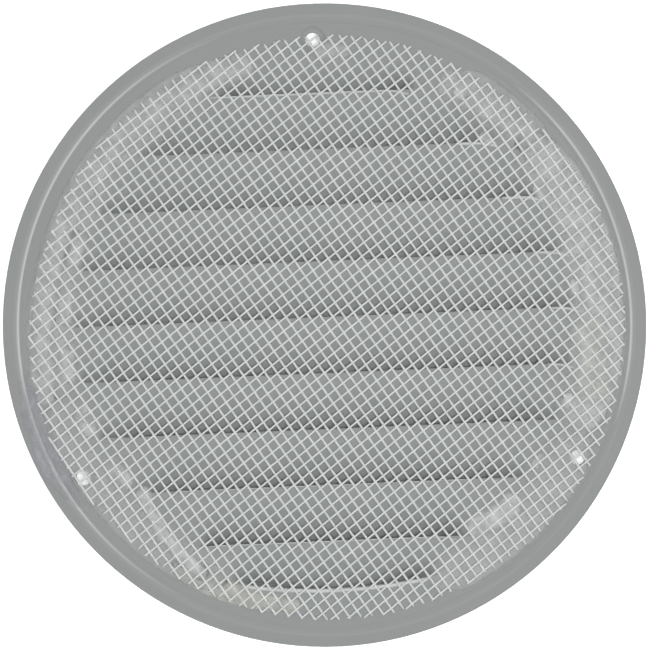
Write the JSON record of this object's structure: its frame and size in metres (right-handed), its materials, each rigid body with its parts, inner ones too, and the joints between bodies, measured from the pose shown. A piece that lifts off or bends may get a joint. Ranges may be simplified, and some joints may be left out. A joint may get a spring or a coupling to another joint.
{
  "type": "round vent cover",
  "caption": "Round pressed-metal louvre vent cover with a white insect mesh stuck into the recess of its back with hot-melt glue.",
  "frame": {"origin": "centre of the screw circle, on the back face of the recessed disc; the holes open 0.7 mm lower, on the floors of their dimples", "axes": "+Z out of the back, towards the wall; +Y up the wall; +X to the right seen from the back"},
  "size_m": [0.165, 0.165, 0.0073],
  "materials": {
    "plate_metal": "satin",
    "mesh_yarn": "matte",
    "set_glue": "gloss"
  },
  "bodies": {
    "root": {"louvre_plate": "plate_metal", "insect_mesh": "mesh_yarn", "glue_bead_left": "set_glue", "glue_bead_right": "set_glue", "glue_blob_right": "set_glue", "glue_blob_lower_right": "set_glue", "glue_streak_lower_left": "set_glue", "glue_blob_bottom": "set_glue", "glue_dab_top_hole": "set_glue", "glue_dab_louvre_4": "set_glue", "glue_dab_louvre_5": "set_glue", "glue_dab_louvre_6": "set_glue", "glue_dab_louvre_7": "set_glue", "glue_dab_louvre_8": "set_glue", "glue_smear_left": "set_glue"}
  },
  "joints": []
}
